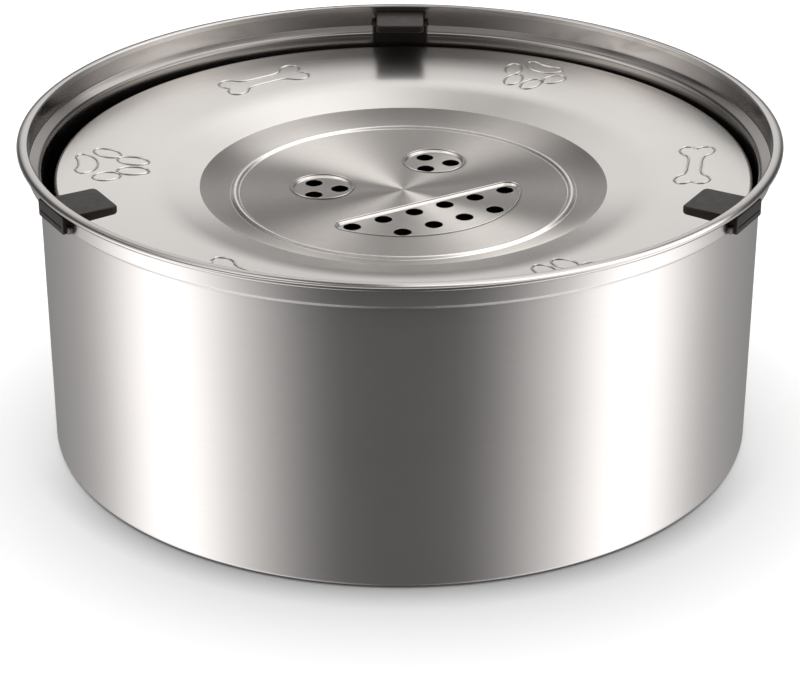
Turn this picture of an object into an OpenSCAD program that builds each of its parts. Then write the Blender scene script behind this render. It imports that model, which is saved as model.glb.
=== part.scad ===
// No-spill water bowl for pets: a round steel bowl with a drinking disc that floats inside it.
// Three clips under the lip keep the disc in. The bowl stands on z = 0, around the z axis.

/* [Bowl] */
// Outer diameter of the lip
rim_d = 270; // [240:1:320]
// Height from the floor to the top of the lip
bowl_h = 114; // [95:1:150]
// Thickness of the bowl's steel sheet
bowl_sheet = 0.9; // [0.7:0.1:1.2]
// Width of the hemmed lip, seen from above
lip_w = 3.9; // [3.6:0.1:4.6]
// Depth of the hemmed lip
lip_t = 2.2; // [1.8:0.1:2.4]
// Depth of the upright collar, from the top of the lip to the crease
collar_h = 8.6; // [8.4:0.1:12]
// Width of the ledge between the collar and the wall
ledge_w = 4.2; // [3.4:0.1:5]
// Slope of the ledge in degrees
ledge_slope = 25; // [15:1:40]
// How far the wall draws in from its top to the base, on the radius
wall_taper = 1; // [0:0.1:1.4]
// Rounding where the wall meets the base
base_round = 1.5; // [1.2:0.1:6]
// How far the middle of the bottom is pushed up
base_step = 2; // [1:0.1:4]

/* [Rubber base ring] */
// Distance of the ring in from the outside of the base
ring_inset = 13.3; // [12.5:0.1:30]
// Width of the ring
ring_w = 13; // [6:0.5:25]
// How far the ring stands out below the steel
ring_proud = 0.4; // [0.2:0.1:2]

/* [Clips] */
// Width of the tongue that reaches over the disc
tongue_w = 18.6; // [12:0.1:24]
// Reach of the tongue in from the outside of the collar
tongue_reach = 18.2; // [12:0.1:22]
// Thickness of the tongue in the slot
tongue_t = 3.6; // [3.2:0.1:3.8]
// Thickness of the tongue at its tip
tip_t = 2.9; // [1.6:0.1:3.2]
// Width of the plate outside the collar
plate_w = 20.4; // [19.8:0.1:30]
// Height of the plate
plate_h = 6.2; // [5:0.1:6.4]
// Thickness of the plate
plate_t = 1.2; // [0.8:0.1:1.4]

/* [Floating disc] */
// Gap between the disc and the wall, all round, if the disc were in the middle
disc_gap = 3; // [2.8:0.1:4]
// Thickness of the disc's steel sheet
disc_sheet = 0.6; // [0.4:0.1:0.8]
// Depth of the disc's edge below the top of the lip, while it floats
disc_drop = 14.2; // [13.5:0.1:20]
// How far the disc floats to one side
disc_shift = 1.2; // [0:0.1:1.2]
// Diameter of the dish in the middle of the disc
dish_d = 145.4; // [130:0.1:160]
// How far the disc falls from its edge to the edge of the dish
disc_fall = 6.4; // [5:0.1:9]
// Distance of the soft bend in the disc's ring out from the edge of the dish
bend_out = 16.8; // [12:0.1:24]
// How far the disc falls from its edge to the bend
bend_fall = 2.6; // [1:0.1:3]
// Depth of the dish below its own edge
dish_depth = 3.3; // [2:0.1:4]
// Distance of the pressed ridge in from the edge of the dish
ridge_inset = 12.4; // [9:0.1:16]
// Height of the pressed ridge
ridge_h = 0.7; // [0.3:0.1:1.2]

/* [Drain face] */
// How far the face is turned on the disc, in degrees
face_turn = 31.3; // [0:0.1:360]
// Diameter of a drain hole
hole_d = 6; // [4:0.1:6.4]
// Depth of the eyes and the mouth in the floor of the dish
face_depth = 0.8; // [0.4:0.1:1.2]
// Diameter of an eye
eye_d = 21; // [20:0.1:23]
// Distance between the middles of the eyes
eye_gap = 47; // [40:0.5:56]
// Height of the eyes above the middle of the disc
eye_rise = 17.2; // [14:0.1:24]
// Distance of the three holes of an eye from its middle
eye_hole_r = 6.2; // [5.5:0.1:6.6]
// Radius of the mouth's round side
mouth_r = 40.5; // [40:0.1:46]
// Depth of the mouth's straight side below the middle of the disc
mouth_drop = 14.5; // [12:0.1:14.8]
// Distance between neighbouring holes of the mouth
mouth_pitch = 12.7; // [11:0.1:12.8]
// Holes in the mouth's upper row; the lower row has two fewer
mouth_holes = 6; // [4:1:6]

/* [Float] */
// Wall thickness of the float
float_wall = 1.8; // [1.2:0.1:2.4]
// Depth of the float below the edge of the disc
float_depth = 21.6; // [18:0.1:40]
// Distance of the float's open middle in from the edge of the dish
well_inset = 10.7; // [6:0.1:16]
// Rounding of the float's lower edges
float_round = 4; // [2:0.5:6]

/* [Hidden] */

steel_colour = "#c8c4bf";
rubber_colour = "#2f2c2b";
float_colour = "#3b3a3b";
back_az = 90;
left_az = 210;
right_az = 330;
round_fn = 180;
hole_fn = 48;
arc_steps = 8;
overrun = 1;       // how far a cut runs past what it cuts
slide_gap = 0.15;  // running clearance of the tongue in its slot
seat_gap = 0.1;    // clearance between pieces that are glued, welded or pressed together

// Sizes of the bowl
rim_r = rim_d / 2;
collar_in_r = rim_r - lip_w;
collar_r = collar_in_r + bowl_sheet;
wall_r = collar_r - ledge_w;
base_r = wall_r - wall_taper;
bowl_mid = bowl_sheet / 2;
ledge_round = 1.6;
crease_round = 0.6;
lip_inner_round = 0.7;
base_z = ring_proud + bowl_mid;
panel_z = base_z + base_step;
step_angle = 60;
ring_r = base_r - ring_inset;
panel_r = ring_r + 1.5 * bowl_sheet;

// Sizes of the clips and their slots
tongue_top = bowl_h - lip_t - 0.4 * bowl_sheet;
tongue_bottom = tongue_top - tongue_t;
tongue_tip_r = collar_r - tongue_reach;
tip_round = 0.8;
corner_round = 1.2;
plate_round = 0.9;
plate_gap = 1.4;
plate_in_r = collar_r + plate_gap;
plate_top = bowl_h - lip_t - 0.2 * bowl_sheet;
plate_groove_w = 0.4;
plate_groove_t = 0.3;
slot_w = tongue_w + 2 * slide_gap;
slot_top = tongue_top + slide_gap;
guard_t = 0.8;
guard_top = tongue_bottom - slide_gap;
slot_bottom = guard_top - guard_t;
guard_w = tongue_w + 2.2;
guard_leg_w = plate_w + 2.4;
guard_leg_t = plate_gap - 2 * seat_gap;
guard_bottom = bowl_h - disc_drop + 0.4;
guard_in_r = wall_r - bowl_sheet - seat_gap - guard_t;
leg_bottom = plate_top - plate_h;

// Sizes of the disc, its top face first
disc_r = wall_r - bowl_sheet - disc_gap;
dish_r = dish_d / 2;
ridge_r = dish_r - ridge_inset;
edge_z = bowl_h - disc_drop;
dish_z = edge_z - disc_fall;
floor_z = dish_z - dish_depth;
ridge_half_w = 2.2;
band_power = 2.2;      // how fast the dish steepens towards its edge
edge_round = 1.2;
crimp_round = 1;
skirt_h = 5.2;
crimp_w = 1.9;
bend_r = dish_r + bend_out;
bend_z = edge_z - bend_fall;
bend_round = 12;
ring_slope = atan(bend_fall / (disc_r - bend_r));
inner_slope = atan((disc_fall - bend_fall) / bend_out);
mouth_round = 3;
mouth_row_gap = 13;
mouth_row_drop = mouth_drop + hole_d / 2 + 0.5 * disc_sheet;

// Sizes of the float
well_r = dish_r - well_inset;
float_r = disc_r - crimp_w - float_wall / 2;
float_z = edge_z - float_depth;
cover_t = 1.6;
cover_r = disc_r - disc_sheet - seat_gap;
cover_step_r = dish_r + cover_t;
cover_flange_z = floor_z - disc_sheet - face_depth / 4 - seat_gap;
crimp_z = edge_z - skirt_h;

// Points along an arc, from angle a0 to a1
function arc(centre, r, a0, a1, steps = arc_steps) =
    [for (i = [0:steps]) let (a = a0 + (a1 - a0) * i / steps) centre + r * [cos(a), sin(a)]];
function reversed(path) = [for (i = [len(path) - 1:-1:0]) path[i]];
// Unit vector to the right of a path at one of its points
function right_of(path, i) =
    let (d = path[min(i + 1, len(path) - 1)] - path[max(i - 1, 0)])
    [d[1], -d[0]] / norm(d);
function shifted(path, d) = [for (i = [0:len(path) - 1]) path[i] + d * right_of(path, i)];
// Outline of a sheet that lies on the right of a path
function sheet_right(path, t) = concat(path, reversed(shifted(path, t)));
function sheet_both(path, t) = concat(shifted(path, t / 2), reversed(shifted(path, -t / 2)));

// Middle line of the bowl's sheet, from the axis out and up to the lip
crease_z = bowl_h - collar_h + crease_round;
ledge_turn = 1 - sin(ledge_slope);
ledge_run = ledge_w - (crease_round + ledge_round) * ledge_turn;
ledge_z = crease_z - (crease_round + ledge_round) * cos(ledge_slope) - ledge_run * tan(ledge_slope);
bowl_path = concat(
    [[0, panel_z]],
    arc([panel_r, panel_z - base_step], base_step, 90, 90 - step_angle),
    arc([panel_r + 2 * base_step * sin(step_angle), base_z + base_step], base_step, 270 - step_angle, 270),
    arc([base_r - base_round, ring_proud + base_round], base_round - bowl_mid, 270, 360),
    arc([wall_r - bowl_mid + ledge_round, ledge_z], ledge_round, 180, 90 + ledge_slope),
    arc([collar_r - bowl_mid - crease_round, crease_z], crease_round, ledge_slope - 90, 0),
    [[collar_r - bowl_mid, bowl_h - lip_t / 2]]);
lip_round = lip_t / 2;
lip_path = concat(
    [[collar_in_r, bowl_h - lip_t]],
    arc([rim_r - lip_round, bowl_h - lip_round], lip_round, -90, 90),
    arc([collar_in_r + lip_inner_round, bowl_h - lip_inner_round], lip_inner_round, 90, 180));

// Outer face of the disc's sheet, from the middle of the dish out, over the edge and into the crimp
function upward(slope) = [cos(90 + slope), sin(90 + slope)];
bend_normals = upward(inner_slope) + upward(ring_slope);
bend_centre = [bend_r, bend_z] - 2 * bend_round * bend_normals / (bend_normals * bend_normals);
ridge_steps = 12;
band_steps = 10;
band_r = ridge_r + ridge_half_w;
disc_path = concat(
    [[0, floor_z]],
    [for (i = [0:ridge_steps]) let (s = i / ridge_steps)
        [ridge_r + ridge_half_w * (2 * s - 1), floor_z + ridge_h * (1 - cos(360 * s)) / 2]],
    [for (i = [1:band_steps]) let (s = i / band_steps)
        [band_r + (dish_r - band_r) * s, floor_z + dish_depth * pow(s, band_power)]],
    arc(bend_centre, bend_round, 90 + inner_slope, 90 + ring_slope, 4),
    arc([disc_r - edge_round, edge_z - edge_round], edge_round, 90 + ring_slope, 0),
    arc([disc_r - crimp_round, crimp_z + crimp_round], crimp_round, 0, -90),
    [[disc_r - crimp_w, crimp_z]]);

module spun(points) {
    rotate_extrude($fn = round_fn) polygon(points);
}

// Part of a ring, centred on the x axis
module spun_part(points, width, radius) {
    span = 2 * asin(width / 2 / radius);
    rotate([0, 0, -span / 2]) rotate_extrude(angle = span, $fn = round_fn) polygon(points);
}

// A flat shape in x and z, made as wide as told along y
module side_extruded(width) {
    rotate([90, 0, 0]) translate([0, 0, -width / 2]) linear_extrude(height = width) children();
}

module bowl() {
    color(steel_colour) difference() {
        union() {
            spun(sheet_both(bowl_path, bowl_sheet));
            spun(lip_path);
        }
        for (az = [back_az, left_az, right_az]) rotate([0, 0, az])
            translate([collar_in_r - overrun, -slot_w / 2, slot_bottom])
                cube([bowl_sheet + 2 * overrun, slot_w, slot_top - slot_bottom]);
    }
}

module base_ring() {
    ring_round = ring_proud / 2;
    top_z = ring_proud + base_step - seat_gap;
    color(rubber_colour) spun(concat(
        arc([ring_r - ring_w + ring_round, ring_round], ring_round, 180, 270),
        arc([ring_r - ring_round, ring_round], ring_round, 270, 360),
        [[ring_r, top_z], [ring_r - ring_w, top_z]]));
}

// Rubber guard over the lower edge of a slot: an apron inside, a short leg outside
module edge_guard(az) {
    bridge_w = slot_w - 2 * seat_gap;
    apron_out_r = collar_in_r - seat_gap;
    wall_in_r = wall_r - bowl_sheet - seat_gap;
    leg_in_r = collar_r + seat_gap;
    leg_out_r = leg_in_r + guard_leg_t;
    // the apron rests on the ledge, clear of its top face
    shelf_z = bowl_h - collar_h + bowl_sheet;
    shelf_low_z = shelf_z - (apron_out_r - wall_in_r - ledge_round) * tan(ledge_slope);
    color(rubber_colour) rotate([0, 0, az]) union() {
        spun_part(concat(
            [[apron_out_r, shelf_z], [apron_out_r, guard_top]],
            arc([guard_in_r + tip_round, guard_top - tip_round], tip_round, 90, 180),
            [[guard_in_r, guard_bottom], [wall_in_r, guard_bottom],
             [wall_in_r, shelf_low_z - ledge_round], [wall_in_r + ledge_round, shelf_low_z]]),
            guard_w, guard_in_r);
        spun_part([[apron_out_r - guard_t, guard_top], [apron_out_r - guard_t, slot_bottom + seat_gap],
                   [leg_in_r + guard_t, slot_bottom + seat_gap], [leg_in_r + guard_t, guard_top]],
                  bridge_w, collar_r);
        spun_part(concat(
            [[leg_in_r, guard_top]],
            [[leg_in_r, leg_bottom + plate_round]],
            arc([leg_out_r - guard_leg_t / 2, leg_bottom + guard_leg_t / 2], guard_leg_t / 2, 180, 360),
            [[leg_out_r, guard_top]]),
            guard_leg_w, collar_r);
    }
}
module edge_guard_back() { edge_guard(back_az); }
module edge_guard_left() { edge_guard(left_az); }
module edge_guard_right() { edge_guard(right_az); }

// One clip: a tongue through the slot, and a plate that stops it outside
module clip(az) {
    tip_bottom = tongue_top - tip_t;
    taper_r = collar_in_r - corner_round;
    head_r = plate_in_r + plate_t;
    plate_bottom = plate_top - plate_h;
    color(rubber_colour) rotate([0, 0, az]) {
        intersection() {
            side_extruded(tongue_w) polygon(concat(
                [[plate_in_r + plate_t / 2, tongue_bottom], [plate_in_r + plate_t / 2, tongue_top]],
                arc([tongue_tip_r + tip_round, tongue_top - tip_round], tip_round, 90, 180),
                arc([tongue_tip_r + tip_round, tip_bottom + tip_round], tip_round, 180, 270),
                [[taper_r, tongue_bottom]]));
            translate([0, 0, tongue_bottom - overrun])
                linear_extrude(height = tongue_t + 2 * overrun) polygon(concat(
                    arc([tongue_tip_r + corner_round, tongue_w / 2 - corner_round], corner_round, 90, 180),
                    arc([tongue_tip_r + corner_round, corner_round - tongue_w / 2], corner_round, 180, 270),
                    [[head_r, -tongue_w / 2], [head_r, tongue_w / 2]]));
        }
        difference() {
            translate([plate_in_r, 0, 0]) rotate([90, 0, 90]) linear_extrude(height = plate_t)
                polygon(concat(
                    arc([plate_round - plate_w / 2, plate_bottom + plate_round], plate_round, 180, 270),
                    arc([plate_w / 2 - plate_round, plate_bottom + plate_round], plate_round, 270, 360),
                    arc([plate_w / 2 - plate_round, plate_top - plate_round], plate_round, 0, 90),
                    arc([plate_round - plate_w / 2, plate_top - plate_round], plate_round, 90, 180)));
            translate([head_r - plate_groove_t, plate_round - plate_w / 2, plate_bottom + plate_h / 3])
                cube([plate_groove_t + overrun, plate_w - 2 * plate_round, plate_groove_w]);
        }
    }
}
module clip_back() { clip(back_az); }
module clip_left() { clip(left_az); }
module clip_right() { clip(right_az); }

// Everything that floats lies a little off the bowl's axis
module at_float() {
    translate([disc_shift, 0, 0]) children();
}
module at_face() {
    rotate([0, 0, face_turn]) children();
}
module eyes_plan(grow) {
    for (side = [-1, 1]) translate([side * eye_gap / 2, eye_rise]) circle(d = eye_d + 2 * grow, $fn = round_fn);
}
// Half-moon with round corners: a flat upper side and a round lower side
module mouth_plan(grow) {
    corner_y = -mouth_drop - mouth_round;
    corner_x = sqrt(pow(mouth_r - mouth_round, 2) - pow(corner_y, 2));
    meet = atan2(corner_y, corner_x);
    polygon(concat(
        arc([corner_x, corner_y], mouth_round + grow, 90, meet),
        arc([0, 0], mouth_r + grow, meet, -180 - meet, 6 * arc_steps),
        arc([-corner_x, corner_y], mouth_round + grow, 180 - meet, 90)));
}
module face_block(grow, bottom, top) {
    translate([0, 0, bottom]) linear_extrude(height = top - bottom) {
        eyes_plan(grow);
        mouth_plan(grow);
    }
}
module drain_row(count, drop, bottom) {
    for (i = [0:count - 1]) translate([(i - (count - 1) / 2) * mouth_pitch, -drop, bottom])
        cylinder(d = hole_d, h = dish_depth, $fn = hole_fn);
}
module drain_holes() {
    bottom = floor_z - face_depth - disc_sheet - overrun;
    for (side = [-1, 1]) translate([side * eye_gap / 2, eye_rise, bottom])
        for (turn = [90, 210, 330]) rotate([0, 0, turn]) translate([eye_hole_r, 0, 0])
            cylinder(d = hole_d, h = dish_depth, $fn = hole_fn);
    drain_row(mouth_holes, mouth_row_drop, bottom);
    drain_row(mouth_holes - 2, mouth_row_drop + mouth_row_gap, bottom);
}

module disc_plate() {
    color(steel_colour) at_float() difference() {
        union() {
            spun(sheet_right(disc_path, disc_sheet));
            at_face() face_block(disc_sheet, floor_z - face_depth - disc_sheet, floor_z - disc_sheet / 2);
        }
        at_face() face_block(0, floor_z - face_depth, floor_z + overrun);
        at_face() drain_holes();
    }
}

// Height of the cover's top face under the sloping ring of the disc
function cover_z(r) = bend_z + (r - bend_r) * tan(r < bend_r ? inner_slope : ring_slope)
                      - disc_sheet / cos(inner_slope) - seat_gap;

module float_cover() {
    rim_z = crimp_z + disc_sheet + seat_gap;
    rim_in_r = float_r + seat_gap;
    color(float_colour) at_float() spun([
        [well_r, cover_flange_z], [cover_step_r, cover_flange_z],
        [cover_step_r + cover_t / 2, cover_z(cover_step_r)], [bend_r, cover_z(bend_r)],
        [cover_r - edge_round, cover_z(cover_r - edge_round)], [cover_r, cover_z(cover_r) - edge_round],
        [cover_r, rim_z], [rim_in_r, rim_z], [rim_in_r, cover_z(rim_in_r) - cover_t],
        [bend_r, cover_z(bend_r) - cover_t],
        [cover_step_r + 1.5 * cover_t, cover_z(cover_step_r + 1.5 * cover_t) - cover_t],
        [cover_step_r + 0.75 * cover_t, cover_flange_z - cover_t], [well_r, cover_flange_z - cover_t]]);
}

module float_tray() {
    in_r = well_r + float_wall;
    out_r = float_r - float_wall;
    in_top = cover_flange_z - cover_t - seat_gap;
    inner_round = float_round - float_wall;
    color(float_colour) at_float() spun(concat(
        [[well_r, in_top]],
        arc([well_r + float_round, float_z + float_round], float_round, 180, 270),
        arc([float_r - float_round, float_z + float_round], float_round, 270, 360),
        [[float_r, cover_z(float_r) - cover_t - seat_gap], [out_r, cover_z(out_r) - cover_t - seat_gap]],
        arc([float_r - float_round, float_z + float_round], inner_round, 360, 270),
        arc([well_r + float_round, float_z + float_round], inner_round, 270, 180),
        [[in_r, in_top]]));
}

bowl();
base_ring();
edge_guard_back();
edge_guard_left();
edge_guard_right();
clip_back();
clip_left();
clip_right();
disc_plate();
float_cover();
float_tray();
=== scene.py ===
import math

import bmesh
import bpy
from mathutils import Matrix, Vector


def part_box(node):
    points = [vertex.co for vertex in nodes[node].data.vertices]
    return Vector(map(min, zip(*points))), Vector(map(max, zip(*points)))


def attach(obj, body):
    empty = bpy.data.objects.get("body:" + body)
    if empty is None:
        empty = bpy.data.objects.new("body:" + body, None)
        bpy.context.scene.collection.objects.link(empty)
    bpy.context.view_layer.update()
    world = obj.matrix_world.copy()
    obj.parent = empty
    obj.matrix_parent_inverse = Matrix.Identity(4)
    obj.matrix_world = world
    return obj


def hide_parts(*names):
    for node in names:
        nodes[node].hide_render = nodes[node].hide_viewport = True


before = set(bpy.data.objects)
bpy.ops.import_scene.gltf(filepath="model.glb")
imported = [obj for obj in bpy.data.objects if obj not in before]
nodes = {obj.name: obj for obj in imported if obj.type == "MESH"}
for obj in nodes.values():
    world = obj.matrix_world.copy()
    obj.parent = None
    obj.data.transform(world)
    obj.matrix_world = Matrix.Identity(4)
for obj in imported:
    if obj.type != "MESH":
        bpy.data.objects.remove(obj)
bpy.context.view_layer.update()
mm = 0.001
slack = 1e-6  # millimetres within which two sizes are the same
nearly = 0.01  # millimetres by which a face may miss its level

# The kinds of node and the settings that come often
calc, span = "ShaderNodeMath", "ShaderNodeMapRange"
split, join = "ShaderNodeSeparateXYZ", "ShaderNodeCombineXYZ"
times, plus, minus = {"operation": "MULTIPLY"}, {"operation": "ADD"}, {"operation": "SUBTRACT"}
larger, smaller, positive = {"operation": "MAXIMUM"}, {"operation": "MINIMUM"}, {"operation": "ABSOLUTE"}
turnOf, rootOf, inDegrees = {"operation": "ARCTAN2"}, {"operation": "SQRT"}, {"operation": "DEGREES"}
scaled, smoothly = {"operation": "SCALE"}, {"interpolation_type": "SMOOTHSTEP"}


def hexColour(code):  # an sRGB hex value as linear RGB
    parts = [int(code[i:i + 2], 16) / 255 for i in (1, 3, 5)]
    return [c / 12.92 if c <= 0.04045 else ((c + 0.055) / 1.055) ** 2.4 for c in parts]


def feed(tree, node, *values, **inputs):  # a node or a socket is linked, and any other value is set
    for key, value in [*enumerate(values), *inputs.items()]:
        socket = node.inputs[key if isinstance(key, int) else key.replace("_", " ")]
        source = value.outputs[0] if isinstance(value, bpy.types.Node) else value
        if isinstance(source, bpy.types.NodeSocket):
            tree.links.new(source, socket)
        else:
            socket.default_value = source


def addNode(tree, kind, settings, *values, **inputs):  # values fill the inputs in order
    node = tree.nodes.new(kind)
    for name, value in settings.items():
        setattr(node, name, value)
    feed(tree, node, *values, **inputs)
    return node


def setRamp(node, stops):
    while len(node.color_ramp.elements) < len(stops):
        node.color_ramp.elements.new(0.5)
    for element, (place, value) in zip(node.color_ramp.elements, stops):
        element.position = place
        element.color = (value, value, value, 1.0)


def newMaterial(name):
    material = bpy.data.materials.new(name)
    material.use_nodes = True
    tree = material.node_tree
    return material, tree, tree.nodes["Principled BSDF"]


def arc(cx, cz, radius, startDeg, endDeg, steps):  # points on an arc, both ends included
    turns = [math.radians(startDeg + (endDeg - startDeg) * i / steps) for i in range(steps + 1)]
    return [(cx + radius * math.cos(t), cz + radius * math.sin(t)) for t in turns]


def withSupport(outline, reach, step):  # short steps beside each end of a long straight run
    result = [outline[0]]
    for (x0, z0), (x1, z1) in zip(outline, outline[1:]):
        length = math.hypot(x1 - x0, z1 - z0)
        stops = []
        if length > 4 * reach:
            count = max(1, int(length / step))
            stops = [reach / length] + [i / count for i in range(1, count)] + [1 - reach / length]
        result += [(x0 + (x1 - x0) * s, z0 + (z1 - z0) * s) for s in stops] + [(x1, z1)]
    return result


def offsetPath(path, distance):  # the path moved to its right
    moved = []
    for i, (x, z) in enumerate(path):
        (xa, za), (xb, zb) = path[max(i - 1, 0)], path[min(i + 1, len(path) - 1)]
        length = math.hypot(xb - xa, zb - za)
        moved.append((x + distance * (zb - za) / length, z - distance * (xb - xa) / length))
    return moved


def skin(bm, ringA, ringB):  # a band of faces between two closed rings
    count = len(ringA)
    for i in range(count):
        bm.faces.new((ringA[i], ringA[(i + 1) % count], ringB[(i + 1) % count], ringB[i]))


def finishPiece(bm, name, materials, body, replaced, sharpAngle):
    bmesh.ops.recalc_face_normals(bm, faces=bm.faces)
    print(name, "faces", len(bm.faces), "open edges", sum(1 for e in bm.edges if not e.is_manifold))
    mesh = bpy.data.meshes.new(name)
    bm.to_mesh(mesh)
    bm.free()
    for material in materials:
        mesh.materials.append(material)
    mesh.polygons.foreach_set("use_smooth", [True] * len(mesh.polygons))
    mesh.set_sharp_from_angle(angle=math.radians(sharpAngle))
    piece = bpy.data.objects.new(name, mesh)
    bpy.context.scene.collection.objects.link(piece)
    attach(piece, body)
    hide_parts(replaced)


# the photograph's view: place in metres, tilt in degrees, lens and sensor in millimetres
camera = dict(place=(0, -0.9274, 0.4793), tilt=64.0, lens=126.2, sensor=36.0, near=0.01)
cameraData = bpy.data.cameras.new("photoCamera")
cameraData.lens = camera["lens"]
cameraData.sensor_width = camera["sensor"]
cameraData.sensor_fit = "HORIZONTAL"
cameraData.clip_start = camera["near"]
cameraObject = bpy.data.objects.new("photoCamera", cameraData)
cameraObject.location = camera["place"]
cameraObject.rotation_euler = (math.radians(camera["tilt"]), 0, 0)
bpy.context.scene.collection.objects.link(cameraObject)
bpy.context.scene.camera = cameraObject
print("stage: camera")

studio = dict(
    # what steel mirrors, by the angle away from the camera's side: dark gobo, soft box, grey wall
    around=[(0, 0.050), (0.10, 0.053), (0.14, 0.076), (0.19, 0.140), (0.24, 0.267), (0.29, 0.39),
            (0.34, 0.64), (0.395, 0.93), (0.455, 1.0), (0.515, 0.77), (0.59, 0.41), (0.67, 0.242),
            (0.78, 0.180), (0.89, 0.125), (1.0, 0.050)],
    boxStrength=2.25, skyStrength=1.05, flankStrength=0.12, plainStrength=1.12,
    # what steel throws on to matt things, and the light that matt things get from the studio itself
    thrownStrength=(0.06, 1.1), softStrength=(0.25, 2.0), softLean=18.0, boxSoftness=0.9,
    # where each part of the studio fades in, by the direction's Y, its Z, or its X to either side
    overheadZ=(0.78, 0.90), rearY=(-0.3, 0.1), rearZ=(0.42, 0.62), backY=(0.1, 0.7), backZ=(0.13, 0.29),
    flankX=(0.20, 0.42), flankY=(0.25, 0.55), flankZ=(0.74, 0.92), thrownX=(0.45, 0.9), boxX=(0.6, 0.95),
    softFacing=(0.3, 0.95),
    # soft boxes and gaps behind the dish: level, then azimuth right of the back, and height of the direction
    panels=[(2.40, (-0.5, 75.0), (0.60, 0.955)), (1.50, (-0.5, 15.0), (0.58, 0.80)),
            (0.12, (-11.5, -0.5), (0.66, 0.92)), (0.25, (-80.0, -42.0), (0.80, 0.96)),
            (1.60, (-42.0, -13.0), (0.80, 0.96)), (0.30, (-40.0, 20.0), (0.90, 0.97)),
            (0.30, (-185.0, 185.0), (0.96, 1.05)), (0.40, (11.5, 20.0), (0.52, 0.66)),
            (0.40, (-20.0, -12.0), (0.54, 0.66)), (1.70, (110.0, 185.0), (0.78, 0.95)),
            (1.70, (-185.0, -110.0), (0.78, 0.95))],
    turnEdge=1.0, heightEdge=0.02,
    # the floor, and the shadow painted on it where the bowl meets it in front
    floorColour="#fbfbfb", floorSize=8.0, contactReach=0.015, contactFrom=0.5, contactY=(-0.09, -0.02),
    contactShade=0.62, contactSamples=8)

bpy.context.scene.view_settings.view_transform = "Standard"
world = bpy.data.worlds.new("whiteStudio")
bpy.context.scene.world = world
world.use_nodes = True
tree = world.node_tree
tree.nodes.clear()
axes = addNode(tree, split, {}, addNode(tree, "ShaderNodeTexCoord", {}).outputs["Generated"]).outputs
front = addNode(tree, calc, times, axes["Y"], -1.0)
away = addNode(tree, calc, positive, addNode(tree, calc, turnOf, axes["X"], front))
boxes = addNode(tree, "ShaderNodeValToRGB", {}, addNode(tree, calc, {"operation": "DIVIDE"}, away, math.pi))
setRamp(boxes, studio["around"])
boxLight = addNode(tree, calc, times, boxes, studio["boxStrength"])
fade = {name: addNode(tree, span, smoothly, axes[name[-1]], *studio[name])
        for name in ("overheadZ", "rearY", "rearZ", "backY", "backZ", "flankY")}
overRear = addNode(tree, calc, times, fade["rearY"], fade["rearZ"])
overhead = addNode(tree, calc, larger, fade["overheadZ"], overRear)
backSide = addNode(tree, calc, times, fade["backY"], fade["backZ"])
sides = addNode(tree, calc, positive, axes["X"])
lowFlank = addNode(tree, calc, times, addNode(tree, span, smoothly, sides, *studio["flankX"]),
                   addNode(tree, span, smoothly, axes["Z"], *studio["flankZ"], 1.0, 0.0))
sideways = addNode(tree, calc, times, lowFlank, fade["flankY"])
skyLight = addNode(tree, span, {}, sideways, To_Min=studio["skyStrength"], To_Max=studio["flankStrength"])
behind = addNode(tree, calc, inDegrees, addNode(tree, calc, turnOf, axes["X"], axes["Y"]))
for strength, turns, heights in studio["panels"]:
    inside = 1.0
    for value, (low, high), edge in ((behind, turns, studio["turnEdge"]),
                                     (axes["Z"], heights, studio["heightEdge"])):
        rising = addNode(tree, span, smoothly, value, low - edge, low + edge)
        falling = addNode(tree, span, smoothly, value, high - edge, high + edge, 1.0, 0.0)
        inside = addNode(tree, calc, times, inside, addNode(tree, calc, times, rising, falling))
    skyLight = addNode(tree, span, {}, inside, To_Min=skyLight, To_Max=strength)
aboveOrBack = addNode(tree, calc, larger, overhead, backSide)
mirrored = addNode(tree, span, {}, aboveOrBack, To_Min=boxLight, To_Max=skyLight)
# what steel throws on to the matt things beside it comes from the sides only
rays = addNode(tree, "ShaderNodeLightPath", {}).outputs
bounced = addNode(tree, calc, smaller, rays["Diffuse Depth"], 1.0)
fromSides = addNode(tree, span, smoothly, sides, *studio["thrownX"], *studio["thrownStrength"])
thrown = addNode(tree, span, {}, bounced, To_Min=mirrored, To_Max=fromSides)
# matt things get their light from above and a little behind, so the bowl's shadow falls short and to the front
lean = math.radians(studio["softLean"])
facing = addNode(tree, calc, plus, addNode(tree, calc, times, axes["Y"], math.sin(lean)),
                 addNode(tree, calc, times, axes["Z"], math.cos(lean)))
soft = addNode(tree, calc, plus,
               addNode(tree, span, smoothly, facing, *studio["softFacing"], *studio["softStrength"]),
               addNode(tree, span, smoothly, sides, *studio["boxX"], 0.0, studio["boxSoftness"]))
shown = addNode(tree, span, {}, rays["Is Diffuse Ray"], To_Min=studio["plainStrength"], To_Max=soft)
level = addNode(tree, span, {}, rays["Is Glossy Ray"], To_Min=shown, To_Max=thrown)
light = addNode(tree, "ShaderNodeBackground", {}, Color=(1, 1, 1, 1), Strength=level)
addNode(tree, "ShaderNodeOutputWorld", {}, Surface=light)
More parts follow.
